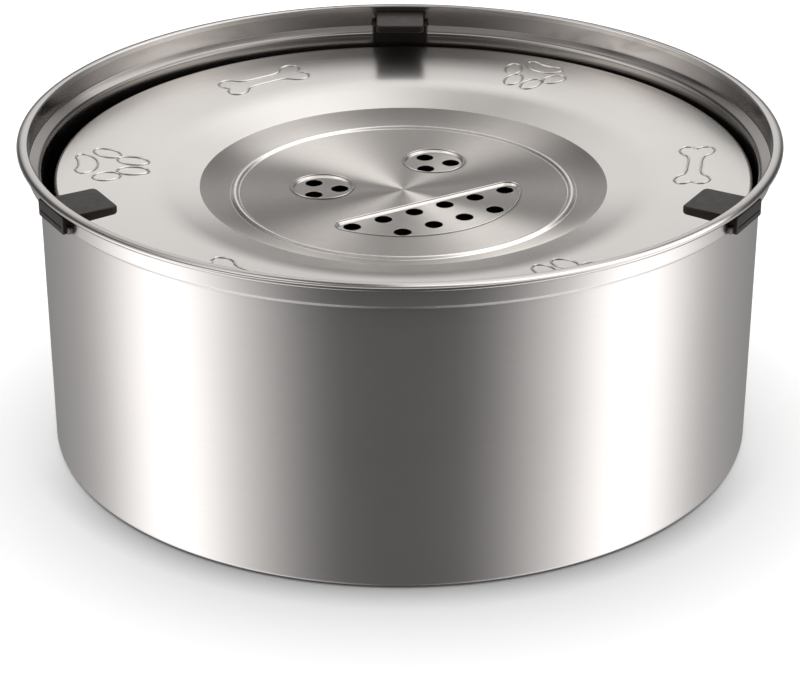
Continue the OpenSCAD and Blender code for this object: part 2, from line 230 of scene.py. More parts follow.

# Matt white sweep: plain white all round, with a painted contact shadow, a soft grey line where the bowl meets it in
# front
floorMaterial, tree, shader = newMaterial("matt white studio floor, painted contact shadow")
# painted shadow: ambient occlusion darkens the floor's colour near the bowl, in front only
near = addNode(tree, "ShaderNodeAmbientOcclusion", {"samples": studio["contactSamples"]},
               Distance=studio["contactReach"]).outputs["AO"]
ground = addNode(tree, split, {}, addNode(tree, "ShaderNodeTexCoord", {}).outputs["Object"]).outputs
paintedShadowFront = addNode(tree, span, smoothly, ground["Y"], *studio["contactY"], studio["contactShade"], 1.0)
shade = addNode(tree, span, {}, near, studio["contactFrom"], 1.0, paintedShadowFront, 1.0)
shaded = addNode(tree, "ShaderNodeVectorMath", scaled, hexColour(studio["floorColour"]), Scale=shade)
feed(tree, shader, Base_Color=shaded, Roughness=1.0, Specular_IOR_Level=0.0)
half = studio["floorSize"] / 2
floorMesh = bpy.data.meshes.new("studioFloor")
corners = [(-half, -half, 0), (half, -half, 0), (half, half, 0), (-half, half, 0)]
floorMesh.from_pydata(corners, [], [(0, 1, 2, 3)])
floorMesh.materials.append(floorMaterial)
floor = bpy.data.objects.new("studioFloor", floorMesh)
bpy.context.scene.collection.objects.link(floor)
floor.visible_glossy = False  # steel mirrors the studio's boxes all the way down
print("stage: studio")

# The lines that brushing leaves are about 0.05 mm apart, too fine to show, so they are drawn 0.6 mm apart
steel = dict(lineSize=0.625, lineDetail=3.0, lineRoughness=0.7, lineDrift=4.0, cloudSize=45.45, cloudDetail=2.0,
             noiseFrom=0.3, noiseTo=0.7, grainTurn=0.25, roughnessSwing=1.5, nookFrom=0.5, nookTo=0.95,
             nookShade=0.25, nookSamples=6, bumpHeight=0.02)


# Steel whose fine grain runs round the piece's axis, as spinning and polishing leave it, with painted shade darkening
# its creases
def steelMaterial(name, colour, roughness, anisotropy, centreX=0.0, grain=0.05, tone=0.03, crease=0.8,
                  relief=0.05):
    material, tree, shader = newMaterial(name)
    coords = addNode(tree, "ShaderNodeTexCoord", {}).outputs["Object"]
    centred = addNode(tree, "ShaderNodeMapping", {}, Vector=coords, Location=(-centreX * mm, 0, 0))
    axes = addNode(tree, split, {}, centred).outputs
    squares = [addNode(tree, calc, times, axes[name], axes[name]) for name in "XY"]
    radius = addNode(tree, calc, rootOf, addNode(tree, calc, plus, *squares))
    around = addNode(tree, calc, positive, addNode(tree, calc, turnOf, axes["Y"], axes["X"]))
    drift = addNode(tree, calc, times, around, steel["lineDrift"] * mm)
    along = addNode(tree, join, {}, radius, axes["Z"], drift)
    lines = addNode(tree, "ShaderNodeTexNoise", {}, Vector=along, Scale=1 / (steel["lineSize"] * mm),
                    Detail=steel["lineDetail"], Roughness=steel["lineRoughness"])
    clouds = addNode(tree, "ShaderNodeTexNoise", {}, Vector=coords, Scale=1 / (steel["cloudSize"] * mm),
                     Detail=steel["cloudDetail"])
    low, high = steel["noiseFrom"], steel["noiseTo"]
    both = addNode(tree, calc, plus, addNode(tree, span, {}, lines, low, high, -grain, grain),
                   addNode(tree, span, {}, clouds, low, high, -tone, tone))
    # painted shade: the colour darkens where ambient occlusion finds a crease
    nook = addNode(tree, "ShaderNodeAmbientOcclusion", {"samples": steel["nookSamples"]},
                   Distance=crease * mm).outputs["AO"]
    paintedCreaseShade = addNode(tree, span, {}, nook, steel["nookFrom"], steel["nookTo"], steel["nookShade"], 1.0)
    shaded = addNode(tree, calc, times, addNode(tree, calc, plus, both, 1.0), paintedCreaseShade)
    swing = addNode(tree, calc, plus, addNode(tree, calc, times, both, steel["roughnessSwing"]), 1.0)
    feed(tree, shader, Metallic=1.0, Anisotropic=anisotropy, Anisotropic_Rotation=steel["grainTurn"],
         Tangent=addNode(tree, "ShaderNodeTangent", {"direction_type": "RADIAL", "axis": "Z"}),
         Base_Color=addNode(tree, "ShaderNodeVectorMath", scaled, hexColour(colour), Scale=shaded),
         Roughness=addNode(tree, calc, times, swing, roughness),
         Normal=addNode(tree, "ShaderNodeBump", {}, Strength=relief, Distance=steel["bumpHeight"] * mm,
                        Height=lines))
    return material


# The grain of a blasted mould is about 0.1 mm, too fine to show, so it is drawn about 0.5 mm wide
rubber = dict(grainSize=0.4545, grainDetail=3.0, patchSize=3.846, patchDetail=2.0, noiseFrom=0.3, noiseTo=0.7,
              grainTone=(0.85, 1.15), patchTone=(0.9, 1.1), roughnessSwing=0.06, bumpStrength=0.4,
              bumpHeight=0.06)


# Rubber with the fine grain of its mould and faint dusty patches
def rubberMaterial(name, colour, roughness, gloss):
    material, tree, shader = newMaterial(name)
    coords = addNode(tree, "ShaderNodeTexCoord", {}).outputs["Object"]
    grain = addNode(tree, "ShaderNodeTexNoise", {}, Vector=coords, Scale=1 / (rubber["grainSize"] * mm),
                    Detail=rubber["grainDetail"])
    patches = addNode(tree, "ShaderNodeTexNoise", {}, Vector=coords, Scale=1 / (rubber["patchSize"] * mm),
                      Detail=rubber["patchDetail"])
    low, high, swing = rubber["noiseFrom"], rubber["noiseTo"], rubber["roughnessSwing"]
    tone = addNode(tree, calc, times, addNode(tree, span, {}, grain, low, high, *rubber["grainTone"]),
                   addNode(tree, span, {}, patches, low, high, *rubber["patchTone"]))
    feed(tree, shader, Specular_IOR_Level=gloss,
         Base_Color=addNode(tree, "ShaderNodeVectorMath", scaled, hexColour(colour), Scale=tone),
         Roughness=addNode(tree, span, {}, patches, low, high, roughness - swing, roughness + swing),
         Normal=addNode(tree, "ShaderNodeBump", {}, Strength=rubber["bumpStrength"],
                        Distance=rubber["bumpHeight"] * mm, Height=grain))
    return material


discCentre = (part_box("disc_plate")[0][0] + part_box("disc_plate")[1][0]) / 2 / mm  # it floats a little to the right
# the wall's drawn grain spreads each soft box into a tall band with soft sides
wallSteel = steelMaterial("stainless steel sheet, satin drawn", "#cecac8", 0.33, 0.9, grain=0.015, tone=0.015,
                          crease=1.6)
# the collar is a dark, fairly sharp mirror beside the bright ring
collarSteel = steelMaterial("stainless steel sheet, fine brushed", "#a5a19f", 0.15, 0.3, grain=0.01, relief=0.0)
# the inside is duller and greyer: its darker colour is painted shade, standing for the shadow inside the bowl
innerShadedSteel = steelMaterial("stainless steel sheet, painted shade inside the bowl", "#8a8683", 0.18, 0.3, grain=0.012,
                           relief=0.0)
# the lip's polish gives one bright line along its crest
lipSteel = steelMaterial("stainless steel sheet, polished", "#bab6b3", 0.14, 0.0, grain=0.01, tone=0.01)
# the ring is pale and even, with wide soft reflections and hardly a line in it
ringSteel = steelMaterial("stainless steel sheet, satin annealed", "#d3cfcb", 0.26, 0.0, discCentre,
                          grain=0.012, tone=0.02, relief=0.015)
# the cut edge is almost black: partly the sheared edge's own darker tone, mostly painted shade so each hole reads as
# deep
cutShadedSteel = steelMaterial("stainless steel sheet, sheared edge with painted shade", "#1f1b19", 0.5, 0.0)
# the turned face fans the light out from its middle in bright and dark wedges
turnedSteel = steelMaterial("stainless steel sheet, turned", "#c4bfbb", 0.55, 1.0, discCentre, grain=0.06)
# silicone is nearly black, with a faint grey sheen on its rounded edges
clipRubber = rubberMaterial("silicone rubber, moulded satin", "#231d1a", 0.38, 0.2)
# the bent leg is a paler grey: painted light, standing for the light that falls on it
paleLitRubber = rubberMaterial("silicone rubber, painted paler for light", "#726e6b", 0.6, 0.3)
# the float is dark with a soft gloss
floatPlastic = rubberMaterial("ABS, moulded", "#2a2420", 0.5, 0.5)
print("stage: materials")

bowl = dict(rim=135.0, height=114.0, sheet=0.9, lipWidth=3.9, lipDepth=2.2, lipInnerRound=0.6, collar=8.6,
            ledge=4.2, ledgeSlope=25.0, creaseRound=0.6, ledgeRound=1.6, taper=1.0, baseRound=1.5, baseStep=2.0,
            stepTurn=60.0, ringProud=0.4, ringInset=13.3, slotHalfWidth=9.45, slotTop=111.59, slotBottom=106.89,
            clipTurns=(90.0, 210.0, 330.0), collarFinish=0.4, floorTop=20.0, floorFacing=0.1, segments=396,
            supportReach=0.25, supportStep=9.0, sharpAngle=40)


def bowlMiddle(b):  # middle line of the sheet, from the axis out and up to the lip
    half = b["sheet"] / 2
    collarR = b["rim"] - b["lipWidth"] + b["sheet"]
    wallR = collarR - b["ledge"]
    baseR = wallR - b["taper"]
    baseZ = b["ringProud"] + half
    step, turn = b["baseStep"], b["stepTurn"]
    slope, crease, ledge = b["ledgeSlope"], b["creaseRound"], b["ledgeRound"]
    panelR = baseR - b["ringInset"] + 1.5 * b["sheet"]
    creaseZ = b["height"] - b["collar"] + crease
    run = b["ledge"] - (crease + ledge) * (1 - math.sin(math.radians(slope)))
    ledgeZ = creaseZ - (crease + ledge) * math.cos(math.radians(slope)) - run * math.tan(math.radians(slope))
    return ([(0.0, baseZ + step)]
            + arc(panelR, baseZ, step, 90, 90 - turn, 9)
            + arc(panelR + 2 * step * math.sin(math.radians(turn)), baseZ + step, step, 270 - turn, 270, 9)
            + arc(baseR - b["baseRound"], b["ringProud"] + b["baseRound"], b["baseRound"] - half, 270, 360, 12)
            + arc(wallR - half + ledge, ledgeZ, ledge, 180, 90 + slope, 9)
            + arc(collarR - half - crease, creaseZ, crease, slope - 90, 0, 9)
            + [(collarR - half, b["height"] - b["lipDepth"] / 2)])


def makeBowl(b):
    middle = bowlMiddle(b)
    outside = offsetPath(middle, b["sheet"] / 2)
    inside = offsetPath(middle, -b["sheet"] / 2)
    lipLow = b["height"] - b["lipDepth"]
    bead = b["lipDepth"] / 2
    collarR, innerR = outside[-1][0], inside[-1][0]
    outside = outside[:-1] + [(collarR, b["slotBottom"]), (collarR, b["slotTop"]), (collarR, lipLow)]
    inside = inside[:-1] + [(innerR, b["slotBottom"]), (innerR, b["slotTop"])]
    peak = innerR + b["lipInnerRound"]  # the rolled lip is highest at its inner edge and falls outward
    lip = (arc(b["rim"] - bead, b["height"] - bead, bead, -90, 0, 9)[:-1]
           + [(peak + (b["rim"] - peak) * c, b["height"] - bead + bead * s)
              for c, s in arc(0, 0, 1, 0, 90, 20)]
           + arc(peak, b["height"] - b["lipInnerRound"], b["lipInnerRound"], 90, 180, 8)[1:])
    outline = withSupport(outside + lip + inside[::-1], b["supportReach"], b["supportStep"])
    outline = [(0.0, outline[0][1])] + outline[1:-1] + [(0.0, outline[-1][1])]
    rows = len(outline) - 2

    # the angles, with two of them put on the sides of each slot
    count = b["segments"]
    turns = [360.0 * i / count for i in range(count)]
    slots = []
    for turn in b["clipTurns"]:
        reach = math.degrees(math.asin(b["slotHalfWidth"] / collarR))
        low, high = round((turn - reach) * count / 360), round((turn + reach) * count / 360)
        turns[low % count], turns[high % count] = turn - reach, turn + reach
        slots.append((low, high))
    inSlot = {i % count for low, high in slots for i in range(low, high)}

    bm = bmesh.new()
    poles = [bm.verts.new((0, 0, outline[end][1] * mm)) for end in (0, -1)]
    grid = []
    for turn in turns:
        c, s = math.cos(math.radians(turn)), math.sin(math.radians(turn))
        grid.append([bm.verts.new((r * c * mm, r * s * mm, z * mm)) for r, z in outline[1:-1]])

    def at(i, j):
        return grid[i % count][j]

    def onCollar(j):  # whether this row and the next lie on the collar, level with the slots
        return all(b["slotBottom"] - slack <= z <= b["slotTop"] + slack
                   and innerR - slack <= r <= collarR + slack for r, z in (outline[j + 1], outline[j + 2]))

    collarRows = [j for j in range(rows - 1) if onCollar(j)]
    firstInner = next(k for k, (a, c) in enumerate(zip(collarRows, collarRows[1:])) if c != a + 1) + 1
    outerRows, innerRows = collarRows[:firstInner], collarRows[firstInner:]
    for i in range(count):
        bm.faces.new((poles[0], at(i + 1, 0), at(i, 0)))
        bm.faces.new((poles[1], at(i, rows - 1), at(i + 1, rows - 1)))
        for j in range(rows - 1):
            if not (i in inSlot and j in collarRows):
                bm.faces.new((at(i, j), at(i + 1, j), at(i + 1, j + 1), at(i, j + 1)))
    outerLow, outerHigh = outerRows[0], outerRows[-1] + 1
    innerHigh, innerLow = innerRows[0], innerRows[-1] + 1
    for low, high in slots:  # the cut edges of each slot
        for i in range(low, high):
            bm.faces.new((at(i, outerLow), at(i + 1, outerLow), at(i + 1, innerLow), at(i, innerLow)))
            bm.faces.new((at(i, innerHigh), at(i + 1, innerHigh), at(i + 1, outerHigh), at(i, outerHigh)))
        for i in (low, high):
            bm.faces.new([at(i, j) for j in range(outerLow, outerHigh + 1)]
                         + [at(i, j) for j in range(innerHigh, innerLow + 1)])
    bmesh.ops.recalc_face_normals(bm, faces=bm.faces)

    # polished lip, satin outside, and an inside with a brighter collar; below the collar the inside carries painted
    # shade
    for face in bm.faces:
        place, normal = face.calc_center_median() / mm, face.normal
        looksIn = (normal.x * place.x + normal.y * place.y < 0 if place.z > b["floorTop"]
                   else normal.z > b["floorFacing"])
        if place.z > lipLow - nearly:
            face.material_index = 1
        elif looksIn:
            face.material_index = 2 if place.z > b["height"] - b["collar"] + b["collarFinish"] else 3
    finishPiece(bm, "drawnBowl", [wallSteel, lipSteel, collarSteel, innerShadedSteel], "bowl_body", "bowl",
                b["sharpAngle"])


makeBowl(bowl)
print("stage: bowl")

disc = dict(edgeR=123.9, edgeZ=99.8, sheet=0.6, edgeRound=1.2, skirt=5.2, crimp=1.9, crimpRound=1.0,
            bendR=89.5, bendFall=2.6, bendRound=70.0, dishR=72.7, dishFall=6.4, dishDepth=3.3, bandPower=2.2,
            brimRound=0.4, brimOut=0.16, brimDrop=0.42, brimFrom=120.0,
            ridgeR=60.3, ridgeHalf=1.9, ridgeHeight=0.8, floorR=57.4, faceTurn=31.3, faceDepth=0.8,
            eyeR=10.5, eyeGap=47.0, eyeRise=17.2, eyeHoles=6.2, mouthR=40.5, mouthDrop=14.5, mouthRound=3.0,
            rowDrops=(17.8, 30.8), rowHoles=(6, 4), holePitch=12.7, holeR=3.1, segments=360, supportReach=0.3,
            supportStep=4.0, sharpAngle=30,
            # a recess's pressed wall, out and down from its outline, and the lead into a drain hole
            recessWall=[(0.62, 0.0), (0.47, 0.0), (0.36, 0.03), (0.25, 0.13), (0.10, 0.32), (-0.08, 0.52),
                        (-0.23, 0.68), (-0.34, 0.77), (-0.47, 0.80), (-0.62, 0.80)],
            mouthShift=0.62, underShift=0.25, holeLead=[(0.2, 0.0), (0.1, 0.0), (0.04, 0.05), (0.0, 0.16)])
disc["floorZ"] = disc["edgeZ"] - disc["dishFall"] - disc["dishDepth"]
disc["slope"] = disc["bendFall"] / (disc["edgeR"] - disc["bendR"])


def discTop(d):  # top face from the flat floor out to the edge, then the skirt and its crimp
    innerSlope = math.degrees(math.atan((d["dishFall"] - d["bendFall"]) / (d["bendR"] - d["dishR"])))
    outerSlope = math.degrees(math.atan(d["slope"]))
    steps = 20
    ridge = [(d["ridgeR"] + d["ridgeHalf"] * (2 * i / steps - 1),
              d["floorZ"] + d["ridgeHeight"] * (1 - math.cos(2 * math.pi * i / steps)) / 2)
             for i in range(steps + 1)]
    bandR = d["ridgeR"] + d["ridgeHalf"]
    band = [(bandR + (d["dishR"] - bandR) * i / steps,
             d["floorZ"] + d["dishDepth"] * (i / steps) ** d["bandPower"]) for i in range(1, steps)]
    brim = arc(d["dishR"] + d["brimOut"], d["floorZ"] + d["dishDepth"] - d["brimDrop"], d["brimRound"],
               d["brimFrom"], 90 + innerSlope, 6)
    # the bend's arc touches the cone below it and the ring above it
    up = [(math.cos(math.radians(90 + a)), math.sin(math.radians(90 + a))) for a in (innerSlope, outerSlope)]
    sumX, sumZ = up[0][0] + up[1][0], up[0][1] + up[1][1]
    reach = 2 * d["bendRound"] / (sumX * sumX + sumZ * sumZ)
    bend = arc(d["bendR"] - reach * sumX, d["edgeZ"] - d["bendFall"] - reach * sumZ, d["bendRound"],
               90 + innerSlope, 90 + outerSlope, 8)
    edge = arc(d["edgeR"] - d["edgeRound"], d["edgeZ"] - d["edgeRound"], d["edgeRound"], 90 + outerSlope, 0, 12)
    crimpZ = d["edgeZ"] - d["skirt"]
    foot = arc(d["edgeR"] - d["crimpRound"], crimpZ + d["crimpRound"], d["crimpRound"], 0, -90, 8)
    return ([(d["floorR"], d["floorZ"])] + ridge + band + brim + bend + edge + foot
            + [(d["edgeR"] - d["crimp"], crimpZ)])


def mouthLoop(d, grow):  # half-moon with round corners
    cornerY = -d["mouthDrop"] - d["mouthRound"]
    cornerX = math.sqrt((d["mouthR"] - d["mouthRound"]) ** 2 - cornerY ** 2)
    meet = math.degrees(math.atan2(cornerY, cornerX))
    return (arc(cornerX, cornerY, d["mouthRound"] + grow, 90, meet, 14)
            + arc(0, 0, d["mouthR"] + grow, meet, -180 - meet, 110)[1:-1]
            + arc(-cornerX, cornerY, d["mouthRound"] + grow, 180 - meet, 90, 14))


def holeCentres(d):
    places = []
    for side in (-1, 1):
        places += arc(side * d["eyeGap"] / 2, d["eyeRise"], d["eyeHoles"], 90, 330, 2)
    for drop, count in zip(d["rowDrops"], d["rowHoles"]):
        places += [((i - (count - 1) / 2) * d["holePitch"], -drop) for i in range(count)]
    return places


def onFace(d, x, y):  # from the face's own axes to the disc's place in the bowl
    a = math.radians(d["faceTurn"])
    return discCentre + x * math.cos(a) - y * math.sin(a), x * math.sin(a) + y * math.cos(a)


# Each recess as a function of how far its outline is grown, and how far its wall is moved out
def recessShapes(d):
    def eye(side):
        return lambda grow: arc(side * d["eyeGap"] / 2, d["eyeRise"], d["eyeR"] + grow, 0, 360, 96)[:-1]

    # the mouth's wall is moved out, because its holes come close to the straight side
    return [(eye(-1), 0.0), (eye(1), 0.0), (lambda grow: mouthLoop(d, grow), d["mouthShift"])]


def makeDisc(d):
    bm = bmesh.new()
    outline = withSupport(discTop(d), d["supportReach"], d["supportStep"])
    outline += offsetPath(outline, d["sheet"])[::-1]
    turns = [2 * math.pi * i / d["segments"] for i in range(d["segments"])]
    rings = [[bm.verts.new(((discCentre + r * math.cos(t)) * mm, r * math.sin(t) * mm, z * mm))
              for t in turns] for r, z in outline]
    for a, b in zip(rings, rings[1:]):
        skin(bm, a, b)

    def loopVerts(points, z):
        return [bm.verts.new((*[c * mm for c in onFace(d, x, y)], z * mm)) for x, y in points]

    def fill(loops):  # flat faces between an outer loop and the loops inside it
        edges = [bm.edges.get((ring[i - 1], ring[i])) or bm.edges.new((ring[i - 1], ring[i]))
                 for ring in loops for i in range(len(ring))]
        bmesh.ops.triangle_fill(bm, use_beauty=True, edges=edges, normal=(0, 0, 1))

    low = d["floorZ"] - d["faceDepth"]
    holes = holeCentres(d)
    topLoops, underLoops = [rings[0]], [rings[-1]]
    for (outlineAt, shift), inside in zip(recessShapes(d), (holes[:3], holes[3:6], holes[6:])):
        wall = [loopVerts(outlineAt(grow + shift), d["floorZ"] - depth) for grow, depth in d["recessWall"]]
        back = [loopVerts(outlineAt(grow + shift + d["underShift"]), d["floorZ"] - depth - d["sheet"])
                for grow, depth in d["recessWall"]]
        topLoops.append(wall[0])
        underLoops.append(back[0])
        innerTop, innerUnder = [wall[-1]], [back[-1]]
        sheets = [wall, back]
        for x, y in inside:
            lead = [(d["holeR"] + out, down) for out, down in d["holeLead"]] + [(d["holeR"], d["sheet"])]
            sheets.append([loopVerts(arc(x, y, r, 0, 360, 48)[:-1], low - depth) for r, depth in lead])
            innerTop.append(sheets[-1][0])
            innerUnder.append(sheets[-1][-1])
        for sheet in sheets:
            for a, b in zip(sheet, sheet[1:]):
                skin(bm, a, b)
        fill(innerTop)
        fill(innerUnder)
    fill(topLoops)
    fill(underLoops)
    bmesh.ops.recalc_face_normals(bm, faces=bm.faces)

    # turned faces inside the brim, cut edges darkened with painted shade, and the satin of the ring on all the rest
    brimMargin, ridgeShare, flat, steep = 0.2, 0.9, 0.97, 0.5
    for face in bm.faces:
        place = face.calc_center_median() / mm
        fromMiddle = math.hypot(place.x - discCentre, place.y)
        isDish = fromMiddle < d["dishR"] - brimMargin
        isRidge = abs(fromMiddle - d["ridgeR"]) < ridgeShare * d["ridgeHalf"]
        isCut = isDish and abs(face.normal.z) < steep
        isTurned = isDish and not isRidge and face.normal.z > (flat if place.z < d["floorZ"] - nearly else 0)
        face.material_index = 2 if isCut else 1 if isTurned else 0
    finishPiece(bm, "pressedDisc", [ringSteel, turnedSteel, cutShadedSteel], "disc_body", "disc_plate",
                d["sharpAngle"])


makeDisc(disc)
print("stage: disc")

# Outlines pressed into the ring of the disc: kind, place round it, distance from its middle, own turn, size
motifs = dict(
    beadWidth=1.2, beadDepth=0.7, sink=0.18, recessWidth=0.85, recessDepth=0.32, recessOut=0.75, burrOut=0.08,
    burrSize=0.06,
    places=[("bone", 1.6, 104.2, -11.0, 0.95), ("bone", 121.0, 104.0, 4.0, 1.0),
            ("bone", 241.0, 104.0, -6.0, 1.0), ("paw", 62.0, 107.0, -8.0, 0.92),
            ("paw", 178.4, 105.4, 6.0, 1.05), ("paw", 301.0, 106.0, 5.0, 1.0)])
boneQuarter = [(0, 2.6), (5, 2.6), (8.6, 3.4), (11.2, 5.7), (14.6, 6.6), (17.4, 4.9), (17.5, 2.2), (16.0, 0)]
pawHalf = [(0, 3.7), (3.9, 4.3), (7.0, 6.3), (8.3, 9.3), (6.0, 11.2), (2.6, 10.5), (0, 10.3)]
pawToes = [(10.2, 0.6, 5.0, 3.4, -28.0), (4.4, -8.2, 5.4, 3.4, -8.0)]  # middle, half sizes and lean of two toes


def smoothLoop(points, steps=7):  # closed curve through the points
    count, result = len(points), []
    for i in range(count):
        p0, p1, p2, p3 = (Vector(points[(i + k - 1) % count]) for k in range(4))
        for j in range(steps):
            t = j / steps
            result.append(0.5 * (2 * p1 + (p2 - p0) * t + (2 * p0 - 5 * p1 + 4 * p2 - p3) * t * t
                                 + (3 * p1 - p0 - 3 * p2 + p3) * t ** 3))
    return result


def motifLoops(kind):
    if kind == "bone":
        right = boneQuarter + [(x, -y) for x, y in boneQuarter[-2::-1]]
        return [smoothLoop(right + [(-x, y) for x, y in right[-2:0:-1]])]
    loops = [smoothLoop(pawHalf + [(-x, y) for x, y in pawHalf[-2:0:-1]])]
    for side in (-1, 1):
        for cx, cy, half, wide, lean in pawToes:
            a = math.radians(side * lean)
            loops.append([Vector((side * cx + wide * c * math.cos(a) - half * s * math.sin(a),
                                  cy + wide * c * math.sin(a) + half * s * math.cos(a)))
                          for c, s in arc(0, 0, 1, 0, 360, 40)[:-1]])
    return loops


def newTree(name, sizes):
    tree = bpy.data.node_groups.new(name, "GeometryNodeTree")
    tree.interface.new_socket("Geometry", in_out="INPUT", socket_type="NodeSocketGeometry")
    for label in sizes:
        tree.interface.new_socket(label, in_out="INPUT", socket_type="NodeSocketFloat")
    tree.interface.new_socket("Finish", in_out="INPUT", socket_type="NodeSocketMaterial")
    tree.interface.new_socket("Geometry", in_out="OUTPUT", socket_type="NodeSocketGeometry")
    return tree, tree.nodes.new("NodeGroupInput").outputs


def endTree(tree, shape, given):
    real = addNode(tree, "GeometryNodeRealizeInstances", {}, Geometry=shape)
    dressed = addNode(tree, "GeometryNodeSetMaterial", {}, Geometry=real, Material=given["Finish"])
    addNode(tree, "NodeGroupOutput", {}, dressed)


def bakeTree(points, edges, tree, values, name, body):
    mesh = bpy.data.meshes.new(name)
    mesh.from_pydata(points, edges, [])
    base = bpy.data.objects.new(name + "Base", mesh)
    bpy.context.scene.collection.objects.link(base)
    modifier = base.modifiers.new("nodes", "NODES")
    modifier.node_group = tree
    for item in tree.interface.items_tree:
        if item.in_out == "INPUT" and item.name in values:
            modifier[item.identifier] = values[item.name]
    mesh = bpy.data.meshes.new_from_object(base.evaluated_get(bpy.context.evaluated_depsgraph_get()))
    bpy.data.objects.remove(base)
    mesh.name = name
    print(name, "faces", len(mesh.polygons))
    piece = bpy.data.objects.new(name, mesh)
    bpy.context.scene.collection.objects.link(piece)
    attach(piece, body)


# a bead swept along each outline, then laid on the sloping ring
beadTree, given = newTree("pressedOutline", ["Bead Width", "Bead Depth", "Sink", "Edge Radius", "Edge Height",
                                             "Slope", "Centre X"])
curve = addNode(beadTree, "GeometryNodeMeshToCurve", {}, Mesh=given["Geometry"])
flat = addNode(beadTree, "GeometryNodeSetCurveNormal", {"mode": "Z_UP"}, Curve=curve)
circle = addNode(beadTree, "GeometryNodeCurvePrimitiveCircle", {}, Resolution=12, Radius=0.5)
beadSize = addNode(beadTree, join, {}, given["Bead Depth"], given["Bead Width"], 1.0)
profile = addNode(beadTree, "GeometryNodeTransform", {}, Geometry=circle, Scale=beadSize)
swept = addNode(beadTree, "GeometryNodeCurveToMesh", {}, Curve=flat, Profile_Curve=profile)
axes = addNode(beadTree, split, {}, addNode(beadTree, "GeometryNodeInputPosition", {})).outputs
planar = addNode(beadTree, join, {}, axes["X"], axes["Y"])
reach = addNode(beadTree, "ShaderNodeVectorMath", {"operation": "LENGTH"}, planar).outputs["Value"]
inward = addNode(beadTree, calc, minus, given["Edge Radius"], reach)
fall = addNode(beadTree, calc, times, inward, given["Slope"])
rise = addNode(beadTree, calc, minus, addNode(beadTree, calc, minus, given["Edge Height"], fall), given["Sink"])
lift = addNode(beadTree, join, {}, X=given["Centre X"], Z=rise)
laid = addNode(beadTree, "GeometryNodeSetPosition", {}, Geometry=swept, Offset=lift)
endTree(beadTree, addNode(beadTree, "GeometryNodeSetShadeSmooth", {}, Geometry=laid), given)


def bakeBeads(loops, sizes, slope, name):  # loops and sizes in millimetres
    points, edges = [], []
    for loop in loops:
        start = len(points)
        points += [(x * mm, y * mm, 0) for x, y in loop]
        edges += [(start + i, start + (i + 1) % len(loop)) for i in range(len(loop))]
    values = {"Slope": slope, "Finish": ringSteel, **{label: value * mm for label, value in sizes.items()}}
    bakeTree(points, edges, beadTree, values, name, "disc_body")


pressedLoops = []
for kind, around, distance, turn, size in motifs["places"]:
    lay, own = Matrix.Rotation(math.radians(around - 90), 2), Matrix.Rotation(math.radians(turn), 2)
    pressedLoops += [[lay @ (own @ p * size + Vector((0, distance))) for p in loop]
                     for loop in motifLoops(kind)]
bakeBeads(pressedLoops, {"Bead Width": motifs["beadWidth"], "Bead Depth": motifs["beadDepth"],
                         "Sink": motifs["sink"], "Edge Radius": disc["edgeR"], "Edge Height": disc["edgeZ"],
                         "Centre X": discCentre}, disc["slope"], "pressedOutlines")
# the same bead, finer, stands round each recess of the drain face
recessLoops = [[onFace(disc, x, y) for x, y in outlineAt(shift + motifs["recessOut"])]
               for outlineAt, shift in recessShapes(disc)]
bakeBeads(recessLoops, {"Bead Width": motifs["recessWidth"], "Bead Depth": motifs["recessDepth"],
                        "Edge Height": disc["floorZ"]}, 0.0, "recessOutlines")

# the small raised burr that the punch leaves round each drain hole
tree, given = newTree("punchedRims", ["Rim Radius", "Burr Size"])
ring = addNode(tree, "GeometryNodeCurvePrimitiveCircle", {}, Resolution=48, Radius=given["Rim Radius"])
profile = addNode(tree, "GeometryNodeCurvePrimitiveCircle", {}, Resolution=8, Radius=given["Burr Size"])
burr = addNode(tree, "GeometryNodeCurveToMesh", {}, Curve=ring, Profile_Curve=profile)
endTree(tree, addNode(tree, "GeometryNodeInstanceOnPoints", {}, Points=given["Geometry"], Instance=burr), given)
rimZ = (disc["floorZ"] - disc["faceDepth"]) * mm
places = [(*[c * mm for c in onFace(disc, x, y)], rimZ) for x, y in holeCentres(disc)]
bakeTree(places, [], tree, {"Rim Radius": (disc["holeR"] + motifs["burrOut"]) * mm,
                            "Burr Size": motifs["burrSize"] * mm, "Finish": ringSteel},
         "drainHoleRims", "disc_body")
print("stage: motifs and holes")


def insetLoop(points, distance):  # a closed outline drawn in, with its corners mitred
    mitreLimit = 0.3  # keeps a sharp corner from running away
    area = sum(x0 * z1 - x1 * z0 for (x0, z0), (x1, z1) in zip(points, points[1:] + points[:1]))
    side = distance if area > 0 else -distance
    result = []
    for i, (x, z) in enumerate(points):
        (xa, za), (xb, zb) = points[i - 1], points[(i + 1) % len(points)]
        a = Vector((z - za, xa - x)).normalized()
        b = Vector((zb - z, x - xb)).normalized()
        move = (a + b) / max((a + b).length_squared / 2, mitreLimit)
        result.append((x - side * move.x, z - side * move.y))
    return result


def drawIn(s, width, corner):  # how far a round corner draws an edge in, this far from the middle
    over = max(s - (width / 2 - corner), 0.0)
    return corner - math.sqrt(max(corner ** 2 - over ** 2, 0.0))


# A bar with rounded ends: its outline in distance from the axis and height, and its width across the clip.
# The marks are more places across it that need a ring of points.
def softBar(bm, outlineAt, width, endRound, place, marks):
    roundFrom = width / 2 - endRound
    stops = {roundFrom + endRound * math.sin(math.radians(a)) for a in range(0, 91, 18)} | set(marks) | {0.0}
    rings = []
    for s in sorted({-m for m in stops} | stops):
        inset = drawIn(abs(s), width, endRound)
        ring = insetLoop(outlineAt(abs(s)), inset) if inset > slack else outlineAt(abs(s))
        rings.append([bm.verts.new(place(s, r, z)) for r, z in ring])
    for a, b in zip(rings, rings[1:]):
        skin(bm, a, b)
    bm.faces.new(rings[0])
    bm.faces.new(rings[-1])


